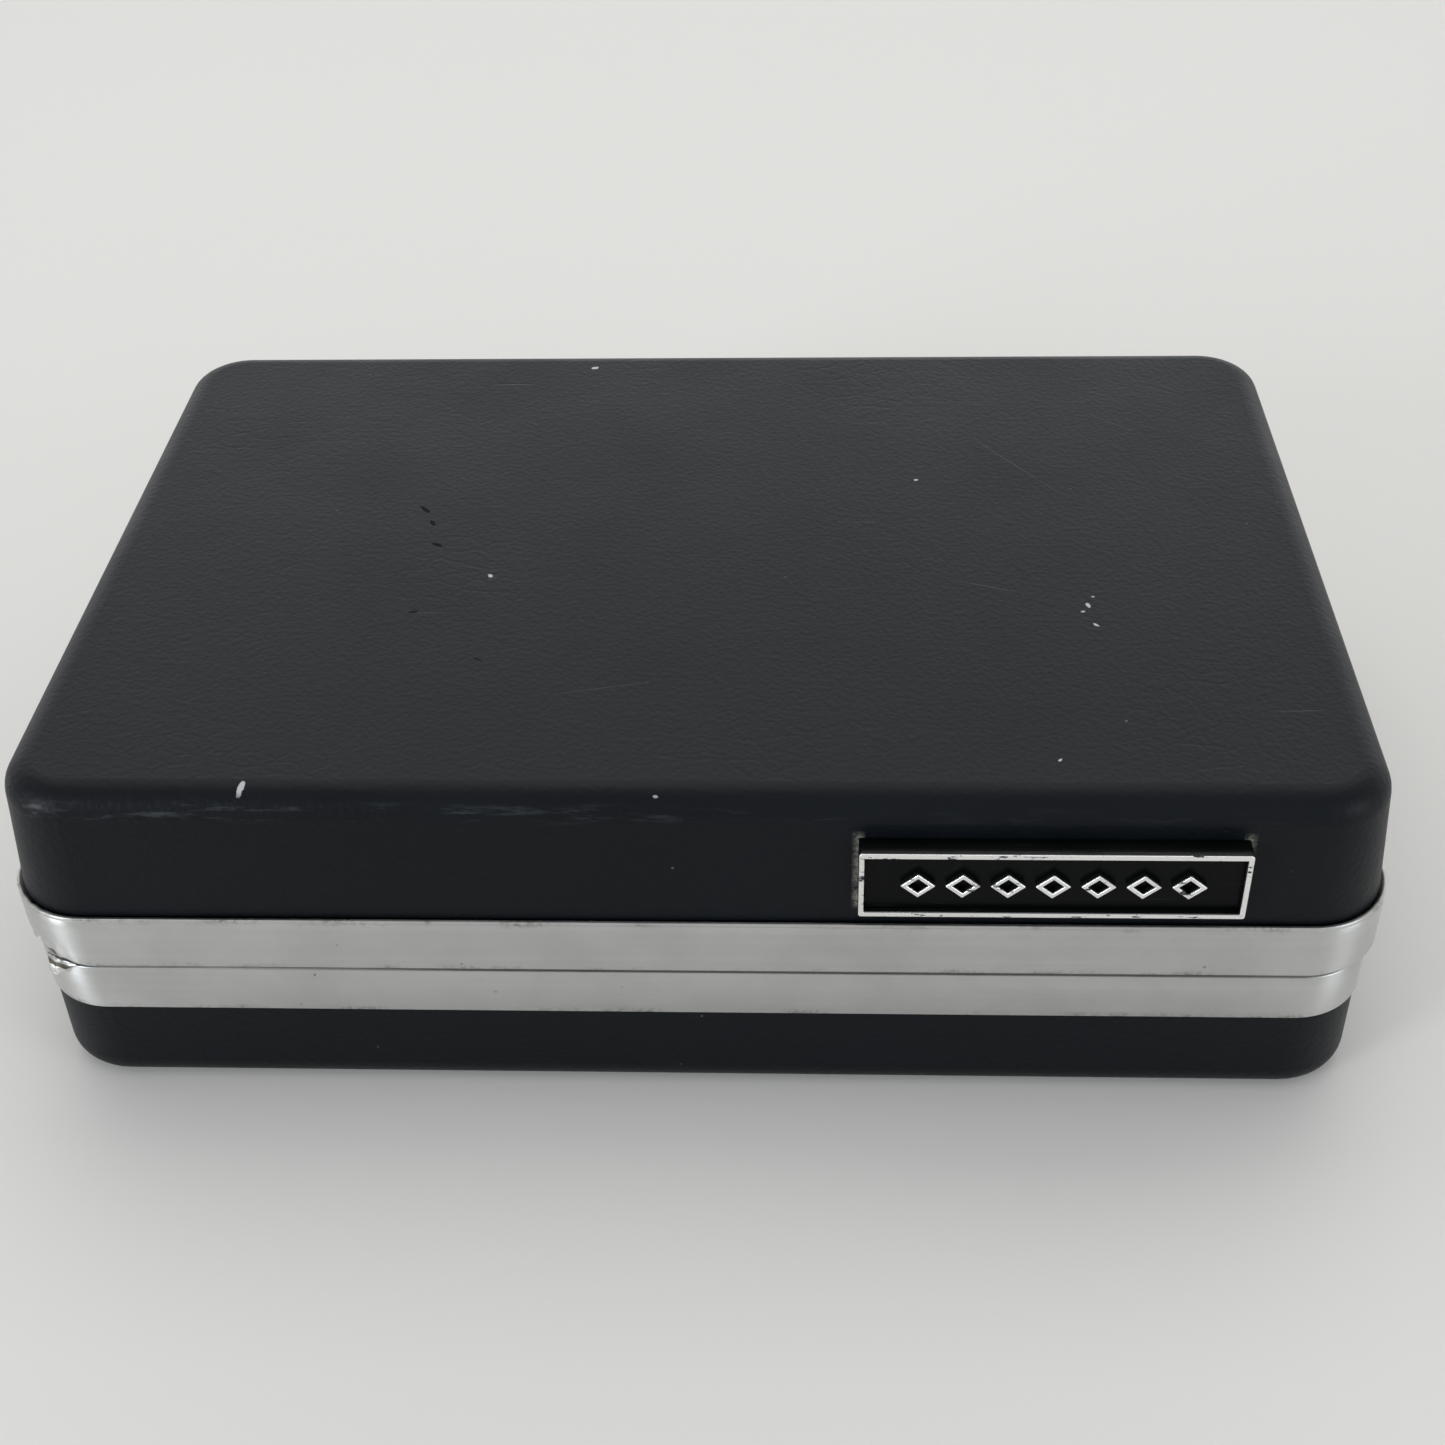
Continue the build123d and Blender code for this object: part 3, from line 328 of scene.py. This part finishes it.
def aluminium_material():
    """Aluminium brushed along the bands and dulled by handling, with dirt at its edges, small pits and
    painted shade in the lower band's step.
    """
    paint = Paint("brushed_aluminium", Metallic=1.0, Anisotropic=0.85, Anisotropic_Rotation=0.25)
    streak = paint.noise(0.10 * MM, 3, 0.7, (0.004, 0.004, 1.0))
    broad = paint.noise(0.8 * MM, 3, 0.6, (0.008, 0.008, 1.0))
    haze = paint.noise(15 * MM, 5, 0.62)
    height = paint.axis("Z")
    edges = []
    for band in ("lid_band", "base_band"):
        low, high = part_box(band)
        edges.append(paint.spread(paint.gap(height, low.z), 1.0 * MM, 0.1 * MM))
        edges.append(paint.spread(paint.gap(height, high.z), 1.1 * MM, 0.4 * MM))
    dirty = paint.times(paint.most(edges), paint.spread(paint.noise(7 * MM, 5, 0.7), 0.5, 0.64))
    specks = paint.spread(paint.noise(0.7 * MM, 4, 0.7), 0.42, 0.6)
    grime = paint.times(dirty, specks)
    pits = paint.spread(paint.cells(5 * MM), 0.06, 0.03)
    pits = paint.times(pits, paint.spread(paint.noise(13 * MM), 0.5, 0.62))
    silver = paint.mix(broad, (0.55, 0.553, 0.542), (0.64, 0.643, 0.63))
    silver = paint.mix(paint.spread(haze, 0.42, 0.75, 0.0, 0.4), silver, (0.42, 0.415, 0.40))
    # Painted shade: the lower band's recessed step, under the lid band's overhang, is darkened towards the
    # stain colour.
    above_step = paint.math("SUBTRACT", height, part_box("base_band")[1].z - SEAM_STEP)
    seam_shade = paint.spread(above_step, -0.03 * MM, 0.03 * MM)
    seam_shade = paint.times(seam_shade, paint.spread(above_step, SEAM_STEP, 0.6 * SEAM_STEP))
    seam_shade = paint.times(seam_shade, paint.spread(paint.noise(5 * MM, 4, 0.7), 0.3, 0.5, 0.8, 1.0))
    # Real grime and pits, and the painted shade in the step, all darken the silver.
    stains_and_seam_shade = paint.most([paint.times(grime, 0.7), paint.times(pits, 0.7), seam_shade])
    colour = paint.mix(stains_and_seam_shade, silver, (0.09, 0.08, 0.062))
    rough = paint.spread(streak, 0.25, 0.75, 0.33, 0.45)
    relief = paint.bump(streak, 0.005 * MM)
    relief = paint.bump(pits, -0.05 * MM, relief)
    tangent = paint.node("ShaderNodeTangent", direction_type="RADIAL", axis="Z").outputs[0]
    paint.set(Base_Color=colour, Roughness=rough, Normal=relief, Tangent=tangent)
    return paint.material


def bright_material(name, tint, rough):
    """Plated metal with fine hairlines, fingermarks and small worn spots."""
    paint = Paint(name, Metallic=1.0)
    hair = paint.noise(0.25 * MM, 3, 0.6, (0.15, 1, 1), radians(20))
    touch = paint.noise(9 * MM, 4, 0.6)
    worn = paint.spread(paint.noise(1.1 * MM, 4, 0.65), 0.66, 0.74)
    colour = paint.mix(paint.times(worn, 0.5), tint, tuple(0.35 * c for c in tint))
    paint.set(Base_Color=colour, Roughness=paint.spread(touch, 0.35, 0.75, rough, rough + 0.14),
              Normal=paint.bump(hair, 0.003 * MM))
    return paint.material


def plated_relief_material():
    """The nameplate's relief: bright on its front face, black down its sides, chipped here and there."""
    paint = Paint("plated_relief")
    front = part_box("nameplate_border")[0].y
    on_face = paint.spread(paint.axis("Y"), front + 0.26 * MM, front + 0.12 * MM)
    chips = paint.spread(paint.noise(1.3 * MM, 5, 0.7, (0.45, 1, 1.6)), 0.60, 0.64)
    bright = paint.times(on_face, paint.math("SUBTRACT", 1.0, chips))
    touch = paint.noise(6 * MM, 4, 0.6)
    paint.set(Base_Color=paint.mix(bright, (0.004, 0.005, 0.005), (0.88, 0.88, 0.87)), Metallic=bright,
              Roughness=paint.spread(touch, 0.3, 0.7, 0.2, 0.34), Normal=paint.bump(chips, -0.03 * MM))
    return paint.material


def metal_material(name, tint, rough):
    """Plain machined metal with grain, stains and a dull bloom."""
    paint = Paint(name, Metallic=1.0)
    lines = paint.noise(0.2 * MM, 3, 0.6, (0.05, 1, 1))
    stain = paint.noise(4 * MM, 4, 0.6)
    colour = paint.mix(paint.spread(stain, 0.35, 0.75), tint, tuple(0.62 * c for c in tint))
    paint.set(Base_Color=colour, Roughness=paint.spread(lines, 0.2, 0.8, rough, rough + 0.18),
              Normal=paint.bump(lines, 0.006 * MM))
    return paint.material


def plastic_material(name, tint, rough, coat=0.0, shine=0.5):
    """Moulded plastic with a fine texture, a little colour drift and soft handling marks."""
    paint = Paint(name, Coat_Weight=coat, Coat_Roughness=0.12, Specular_IOR_Level=shine)
    texture = paint.noise(0.3 * MM, 3, 0.6)
    drift = paint.noise(12 * MM, 4, 0.6)
    hair = paint.spread(paint.noise(0.8 * MM, 2, 0.5, (0.05, 1, 1), radians(25)), 0.68, 0.76)
    colour = paint.mix(drift, tint, tuple(min(1.0, 1.35 * c + 0.0005) for c in tint))
    colour = paint.mix(paint.times(hair, 0.12), colour, tuple(min(1.0, c + 0.1) for c in tint))
    paint.set(Base_Color=colour, Roughness=paint.spread(drift, 0.3, 0.7, rough, rough + 0.1),
              Normal=paint.bump(texture, 0.01 * MM))
    return paint.material


def flock_material():
    """Short dark red pile on a moulding, brushed into soft patches."""
    paint = Paint("red_flock", Sheen_Weight=0.7, Sheen_Roughness=0.4, Specular_IOR_Level=0.2)
    paint.shader.inputs["Sheen Tint"].default_value = (0.9, 0.35, 0.35, 1)
    pile = paint.noise(0.14 * MM, 4, 0.75)
    nap = paint.noise(14 * MM, 5, 0.65)
    lint = paint.times(paint.spread(paint.cells(6 * MM), 0.05, 0.03), 0.35)
    colour = paint.mix(nap, (0.10, 0.008, 0.012), (0.20, 0.016, 0.022))
    colour = paint.mix(paint.spread(pile, 0.5, 0.8, 0.0, 0.4), colour, (0.3, 0.04, 0.05))
    colour = paint.mix(lint, colour, (0.5, 0.45, 0.42))
    paint.set(Base_Color=colour, Roughness=paint.spread(pile, 0.2, 0.8, 0.82, 0.98),
              Normal=paint.bump(pile, 0.09 * MM))
    return paint.material


def mirror_material():
    """Silvered glass with faint smears and a few foxed spots."""
    paint = Paint("silvered_glass", Metallic=1.0)
    smear = paint.noise(18 * MM, 4, 0.6, (0.4, 1, 1), radians(30))
    spots = paint.spread(paint.cells(9 * MM), 0.06, 0.02)
    foxing = paint.times(spots, paint.spread(paint.noise(30 * MM), 0.55, 0.62))
    colour = paint.mix(foxing, (0.88, 0.9, 0.91), (0.25, 0.22, 0.18))
    paint.set(Base_Color=colour, Roughness=paint.spread(smear, 0.45, 0.8, 0.015, 0.09))
    return paint.material


def bristle_material():
    """Pale nylon with darker roots."""
    paint = Paint("nylon_bristle", Subsurface_Weight=0.1)
    along = paint.noise(0.4 * MM, 2, 0.5, (0.05, 1, 1))
    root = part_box("cleaning_brush_bristles")[1].x
    colour = paint.mix(along, (0.62, 0.56, 0.45), (0.8, 0.76, 0.66))
    near_root = paint.spread(paint.axis("X"), root - 5 * MM, root, 0.0, 0.6)
    colour = paint.mix(near_root, colour, (0.2, 0.17, 0.13))
    paint.set(Base_Color=colour, Roughness=paint.spread(along, 0.3, 0.7, 0.38, 0.55))
    return paint.material


FOIL_PITCH = 1.3 * MM  # between holes in line, with one more in the middle of each four


def foil_material(node):
    """Thin shaving foil, etched all over with small staggered holes that follow its arch; each hole is a
    near-black spot of painted shade, with a bump.
    """
    paint = Paint("etched_" + node, Metallic=1.0)
    low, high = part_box(node)
    radius = (high.z - low.z) / 2
    inwards = paint.math("SUBTRACT", low.x + radius, paint.axis("X"))
    upwards = paint.math("SUBTRACT", paint.axis("Z"), low.z + radius)
    around = paint.times(paint.math("ARCTAN2", upwards, inwards), radius)
    rows, columns = (paint.math("COSINE", paint.times(run, 2 * pi / FOIL_PITCH))
                     for run in (around, paint.axis("Y")))
    holes_painted_dark = paint.spread(paint.times(rows, columns), 0.5, 0.3)
    stain = paint.noise(5 * MM, 4)
    steel = paint.mix(stain, (0.62, 0.61, 0.59), (0.5, 0.49, 0.47))
    # Painted shade: the holes are coloured near black, for the darkness inside them.
    colour = paint.mix(holes_painted_dark, (0.02, 0.02, 0.022), steel)
    paint.set(Base_Color=colour, Roughness=paint.spread(holes_painted_dark, 0, 1, 0.7, 0.26),
              Normal=paint.bump(holes_painted_dark, 0.03 * MM))
    return paint.material


def winding_material():
    """Enamelled copper wire in close turns."""
    paint = Paint("copper_winding", Metallic=0.85)
    turns = paint.noise(0.35 * MM, 1, 0.4, (1, 1, 0.03))
    colour = paint.mix(turns, (0.32, 0.08, 0.025), (0.62, 0.22, 0.08))
    paint.set(Base_Color=colour, Roughness=paint.spread(turns, 0.3, 0.7, 0.28, 0.42),
              Normal=paint.bump(turns, 0.08 * MM))
    return paint.material


def lamination_material():
    """A stack of thin steel sheets, seen edge on, with a touch of rust."""
    paint = Paint("steel_laminations", Metallic=0.9)
    stack = {"Vector": paint.scaled((1, 1, 1)), "Scale": 110.0, "Distortion": 0.4}
    sheets = paint.node("ShaderNodeTexWave", stack).outputs[1]
    rust = paint.spread(paint.noise(3 * MM, 4), 0.58, 0.7)
    colour = paint.mix(sheets, (0.09, 0.09, 0.095), (0.2, 0.2, 0.21))
    colour = paint.mix(paint.times(rust, 0.4), colour, (0.16, 0.07, 0.03))
    paint.set(Base_Color=colour, Roughness=paint.spread(sheets, 0, 1, 0.55, 0.42),
              Normal=paint.bump(sheets, 0.05 * MM))
    return paint.material


def floor_material():
    """A plain pale tabletop."""
    paint = Paint("pale_floor", Specular_IOR_Level=0.2)
    drift = paint.noise(0.3, 3)
    pale = paint.mix(drift, (0.74, 0.73, 0.70), (0.77, 0.76, 0.73))
    paint.set(Base_Color=pale, Roughness=paint.spread(drift, 0, 1, 0.55, 0.65))
    return paint.material


# ---------------------------------------------------------------- geometry helpers
def add_mesh(name, build, material, body, replaced=(), smooth=True):
    """A new piece from a function that fills a bmesh."""
    grid = bmesh.new()
    build(grid)
    bmesh.ops.recalc_face_normals(grid, faces=grid.faces)
    mesh = bpy.data.meshes.new(name)
    grid.to_mesh(mesh)
    grid.free()
    for face in mesh.polygons:
        face.use_smooth = smooth
    mesh.materials.append(material)
    piece = bpy.data.objects.new(name, mesh)
    bpy.context.scene.collection.objects.link(piece)
    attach(piece, body)
    if replaced:
        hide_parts(*replaced)
    return piece


def soften(piece, width):
    """Rounds a piece's sharp edges with modifiers, once its flat faces are whole again."""
    weld = piece.modifiers.new("weld", "WELD")
    weld.merge_threshold = 0.002 * MM
    flats = piece.modifiers.new("flats", "DECIMATE")
    flats.decimate_type = "DISSOLVE"
    flats.angle_limit = radians(0.5)
    bevel = piece.modifiers.new("soft_edges", "BEVEL")
    bevel.width = width
    bevel.segments = 2
    bevel.limit_method = "ANGLE"
    bevel.angle_limit = radians(35)
    bevel.harden_normals = True


SIDE_STEPS = 36


def rounded_outline(half_x, half_y, radius, per_corner):
    """Points and outward normals round a rounded rectangle, anticlockwise from above."""
    points = []
    corners = ((1, 1, 0), (-1, 1, 90), (-1, -1, 180), (1, -1, 270))
    for sx, sy, start in corners:
        cx, cy = sx * (half_x - radius), sy * (half_y - radius)
        for i in range(per_corner + 1):
            a = radians(start + 90 * i / per_corner)
            normal = Vector((cos(a), sin(a)))
            points.append((Vector((cx, cy)) + radius * normal, normal))
    spaced = []
    for (p, n), (q, _) in zip(points, points[1:] + points[:1]):
        spaced.append((p, n))
        if (q - p).length > 5 * MM:
            spaced += [(p.lerp(q, i / SIDE_STEPS), n) for i in range(1, SIDE_STEPS)]
    return spaced


def sweep_ring(grid, outline, profile, shape=None):
    """Carries a closed profile of (outward, z) points round the outline; shape may move each point."""
    rings = []
    for place, normal in outline:
        ring = []
        for out, z in profile:
            x, y = place + out * normal
            point = Vector((x, y, z))
            ring.append(grid.verts.new(shape(point) if shape else point))
        rings.append(ring)
    for here, after in zip(rings, rings[1:] + rings[:1]):
        for i in range(len(profile)):
            j = (i + 1) % len(profile)
            grid.faces.new((here[i], here[j], after[j], after[i]))


# ---------------------------------------------------------------- the bands
LID_BAND_RADIUS = 11.35 * MM
BASE_BAND_RADIUS = 10.45 * MM
DENT_TURN = radians(30)  # round the front left corner, from straight ahead
DENT_LEAN = radians(14)  # the bent edge's middle, past the flake's
DENT_REACH = radians(34)
DENT_TALL = 3.6 * MM


def corner_turn(point, centre):
    """How far round the front left corner a point lies, as an angle from straight ahead."""
    return atan2(centre.x - point.x, centre.y - point.y)


def outward(turn):
    return Vector((-sin(turn), -cos(turn), 0))


def lid_band_profile(foot, top):
    """A flat band with a fine bead near its top and a rolled lower edge, as (outward, z) points."""
    thick = 0.45 * MM
    flat = top - foot - 1.2 * MM
    face = [(0.0, foot + f * flat) for f in (0.9, 0.7, 0.5, 0.4, 0.3, 0.22, 0.15, 0.1, 0.05)]
    return [
        (-thick, top),
        (-0.14 * MM, top),
        (-0.04 * MM, top - 0.04 * MM),
        (0.0, top - 0.15 * MM),
        (0.0, top - 0.50 * MM),
        (-0.04 * MM, top - 0.56 * MM),
        (-0.04 * MM, top - 0.62 * MM),
        (0.0, top - 0.68 * MM),
        *face,
        (-0.02 * MM, foot + 0.14 * MM),
        (-0.10 * MM, foot + 0.03 * MM),
        (-0.22 * MM, foot),
        (-1.25 * MM, foot),
        (-1.25 * MM, foot + 1.0 * MM),
        (-thick, foot + 1.3 * MM),
    ]


def base_band_profile(foot, top):
    """The lower band has a step under the lid band, which the aluminium paints dark as shade, above a
    rounded lip.
    """
    step = top - SEAM_STEP
    return [
        (-1.0 * MM, top),
        (-0.48 * MM, top),
        (-0.48 * MM, step + 0.02 * MM),
        (-0.20 * MM, step - 0.02 * MM),
        (-0.06 * MM, step - 0.09 * MM),
        (0.0, step - 0.22 * MM),
        (0.0, (step + foot) / 2),
        (0.0, foot + 0.18 * MM),
        (-0.05 * MM, foot + 0.05 * MM),
        (-0.16 * MM, foot),
        (-1.0 * MM, foot),
    ]


def corner_centre():
    """The centre of the lid band's front left corner."""
    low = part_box("lid_band")[0]
    return Vector((low.x + LID_BAND_RADIUS, low.y + LID_BAND_RADIUS))


def build_lid_band(aluminium):
    low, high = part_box("lid_band")
    centre = corner_centre()

    def torn(point):
        """A knock has bent the band's lower edge in and up, and left it jagged."""
        turn = corner_turn(point, centre)
        if not 0 < turn < pi / 2 or point.x > centre.x or point.y > centre.y:
            return point
        near = max(0.0, 1 - abs(turn - DENT_TURN - DENT_LEAN) / DENT_REACH)
        down = max(0.0, 1 - (point.z - low.z) / DENT_TALL)
        jag = 0.5 * sin(turn * 37) + 0.35 * sin(turn * 61 + 1.3)
        lift = near * down * (0.75 + 0.45 * jag) * MM
        push = near * down * (0.62 + 0.3 * sin(turn * 23 + 0.6)) * MM
        ripple = 0.07 * MM * sin(turn * 31 + point.z * 2500) * near
        return point + Vector((0, 0, lift)) - outward(turn) * (push - ripple)

    outline = rounded_outline(high.x, high.y, LID_BAND_RADIUS, per_corner=44)
    profile = lid_band_profile(low.z, high.z)
    add_mesh("lid_band_metal", lambda grid: sweep_ring(grid, outline, profile, torn), aluminium, "lid",
             ["lid_band"])


def build_base_band(aluminium):
    low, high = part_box("base_band")
    outline = rounded_outline(high.x, high.y, BASE_BAND_RADIUS, per_corner=24)
    profile = base_band_profile(low.z, high.z)
    add_mesh("base_band_metal", lambda grid: sweep_ring(grid, outline, profile), aluminium, ROOT,
             ["base_band"])


# The torn flake from left to right: how far along, how far it stands out and how far it hangs.
FLAKE_CREASES = (
    (0.0, 0.15, 0.55),
    (0.12, 0.95, 0.85),
    (0.34, 0.9, 1.0),
    (0.6, 0.5, 0.55),
    (0.8, 0.3, 0.3),
    (1.0, 0.05, 0.1),
)
FLAKE_DROPS = (-0.1, 0.8, 1.7, 2.7)  # each row's depth below the band's edge, in mm
FLAKE_LEFT, FLAKE_TURN = 8, 25  # degrees round the corner: its left end past the dent, and its length
FLAKE_REACH = 0.75 * MM


def build_flake(aluminium):
    """A flake of the lid band's edge, bent out over the seam in flat creases."""
    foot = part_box("lid_band")[0].z
    centre = corner_centre()

    def flake(grid):
        rows = []
        for i, drop in enumerate(FLAKE_DROPS):
            down = i / (len(FLAKE_DROPS) - 1)
            row = []
            for k, (along, reach, hang) in enumerate(FLAKE_CREASES):
                turn = DENT_TURN + radians(FLAKE_LEFT - FLAKE_TURN * along)
                crumple = 0.06 * MM * sin(2.6 * k + 1.9 * i)
                out = LID_BAND_RADIUS - 0.10 * MM + FLAKE_REACH * reach * down + crumple
                place = Vector((centre.x, centre.y, foot)) + out * outward(turn)
                place.z += 0.6 * crumple - drop * hang * MM
                row.append(grid.verts.new(place))
            rows.append(row)
        for upper, lower in zip(rows, rows[1:]):
            for k in range(len(FLAKE_CREASES) - 1):
                grid.faces.new((upper[k], upper[k + 1], lower[k + 1], lower[k]))

    piece = add_mesh("lid_band_bent_flake", flake, aluminium, "lid", smooth=False)
    sheet = piece.modifiers.new("sheet", "SOLIDIFY")
    sheet.thickness = 0.22 * MM


# ---------------------------------------------------------------- the cleaning brush
FILAMENT_TURNS = [radians(72 * k) for k in range(5)]
FILAMENT_SPLAY = 0.0875  # how far a tip leans outwards, as a part of its place from the middle


def build_bristles(material):
    """A dense tuft of tapered nylon filaments, in staggered rows, splayed a little at the tip."""
    low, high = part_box("cleaning_brush_bristles")
    draw = random.Random(11)
    rows, columns, rings = 9, 20, 5

    def tuft(grid):
        for i in range(columns):
            for j in range(rows):
                y = low.y + (high.y - low.y) * (i + 0.5 + 0.5 * (j % 2 - 0.5)) / columns
                z = low.z + (high.z - low.z) * (j + 0.5) / rows
                lean_y = FILAMENT_SPLAY * (y - (low.y + high.y) / 2) + draw.uniform(-0.15, 0.15) * MM
                lean_z = draw.uniform(-0.12, 0.12) * MM
                tip = low.x + draw.uniform(0.0, 0.7) * MM
                loops = []
                for r in range(rings):
                    f = r / (rings - 1)
                    radius = (0.13 - 0.06 * f * f) * MM
                    cx = high.x + (tip - high.x) * f
                    cy = min(max(y + lean_y * f * f, low.y + radius), high.y - radius)
                    cz = min(max(z + lean_z * f * f, low.z + radius), high.z - radius)
                    spokes = [(radius * cos(t), radius * sin(t)) for t in FILAMENT_TURNS]
                    loops.append([grid.verts.new((cx, cy + dy, cz + dz)) for dy, dz in spokes])
                for a, b in zip(loops, loops[1:]):
                    for k in range(len(FILAMENT_TURNS)):
                        grid.faces.new((a[k], a[k - 1], b[k - 1], b[k]))
                grid.faces.new(loops[0])
                grid.faces.new(loops[-1][::-1])

    add_mesh("cleaning_brush_filaments", tuft, material, ROOT, ["cleaning_brush_bristles"])


# ---------------------------------------------------------------- the whole object
def paint_nodes(paints):
    """Every CAD node takes the material of its slot, or one of its own."""
    slots = {s["node"]: s["material_slot"] for s in frame["record"]["subparts"]}
    for name, node in frame["nodes"].items():
        node.data.materials.clear()
        node.data.materials.append(paints.get(name) or paints[slots[name]])


# How far each CAD node's sharp edges are rounded, in mm.
SOFT_EDGES = {
    "nameplate_block": 0.15,
    "nameplate_border": 0.12,
    "nameplate_studs": 0.12,
    "hinge_base_leaves": 0.15,
    "hinge_lid_leaves": 0.15,
    "tray": 0.5,
    "mirror_frame": 0.35,
    "head_frame": 0.2,
    "switch_slider": 0.2,
    "trimmer_carriage": 0.2,
    "release_button_rear": 0.15,
    "release_button_front": 0.15,
    "power_inlet": 0.2,
    "cleaning_brush_handle": 0.3,
    "catch_lugs": 0.15,
}


def build_paints():
    """A material for each slot, and for each node that has one of its own."""
    relief = plated_relief_material()
    cutter = metal_material("cutter_steel", (0.55, 0.55, 0.56), 0.3)
    return {
        "case_plastic": case_material(),
        "band_aluminium": aluminium_material(),
        "tray_plastic": flock_material(),
        "plate_black": plastic_material("plate_black", (0.0006, 0.0009, 0.001), 0.3, shine=0.1),
        "bright_plating": bright_material("bright_plating", (0.86, 0.865, 0.87), 0.14),
        "steel": metal_material("plain_steel", (0.5, 0.5, 0.51), 0.32),
        "mirror": mirror_material(),
        "shaver_plastic": plastic_material("shaver_black", (0.012, 0.013, 0.015), 0.24, coat=0.3),
        "switch_plastic": plastic_material("switch_ivory", (0.72, 0.68, 0.56), 0.32),
        "moulding_black": plastic_material("moulding_dark", (0.02, 0.02, 0.022), 0.5),
        "bristle": bristle_material(),
        "brass": metal_material("plain_brass", (0.78, 0.58, 0.26), 0.28),
        "lamination": lamination_material(),
        "winding": winding_material(),
        "nameplate_border": relief,
        "nameplate_studs": relief,
        "foil_upper": foil_material("foil_upper"),
        "foil_lower": foil_material("foil_lower"),
        "cutter_upper": cutter,
        "cutter_lower": cutter,
    }


def add_floor():
    bpy.ops.mesh.primitive_plane_add(size=6.0)
    floor = bpy.context.object
    floor.name = "floor"
    floor.data.materials.append(floor_material())


def main():
    add_camera()
    light_world()
    for lamp in LAMPS:
        add_lamp(*lamp)
    paints = build_paints()
    paint_nodes(paints)
    build_lid_band(paints["band_aluminium"])
    build_base_band(paints["band_aluminium"])
    build_flake(paints["band_aluminium"])
    build_bristles(paints["bristle"])
    for name, width in SOFT_EDGES.items():
        soften(frame["nodes"][name], width * MM)
    add_floor()


main()
bpy.context.scene.view_settings.view_transform = "Standard"
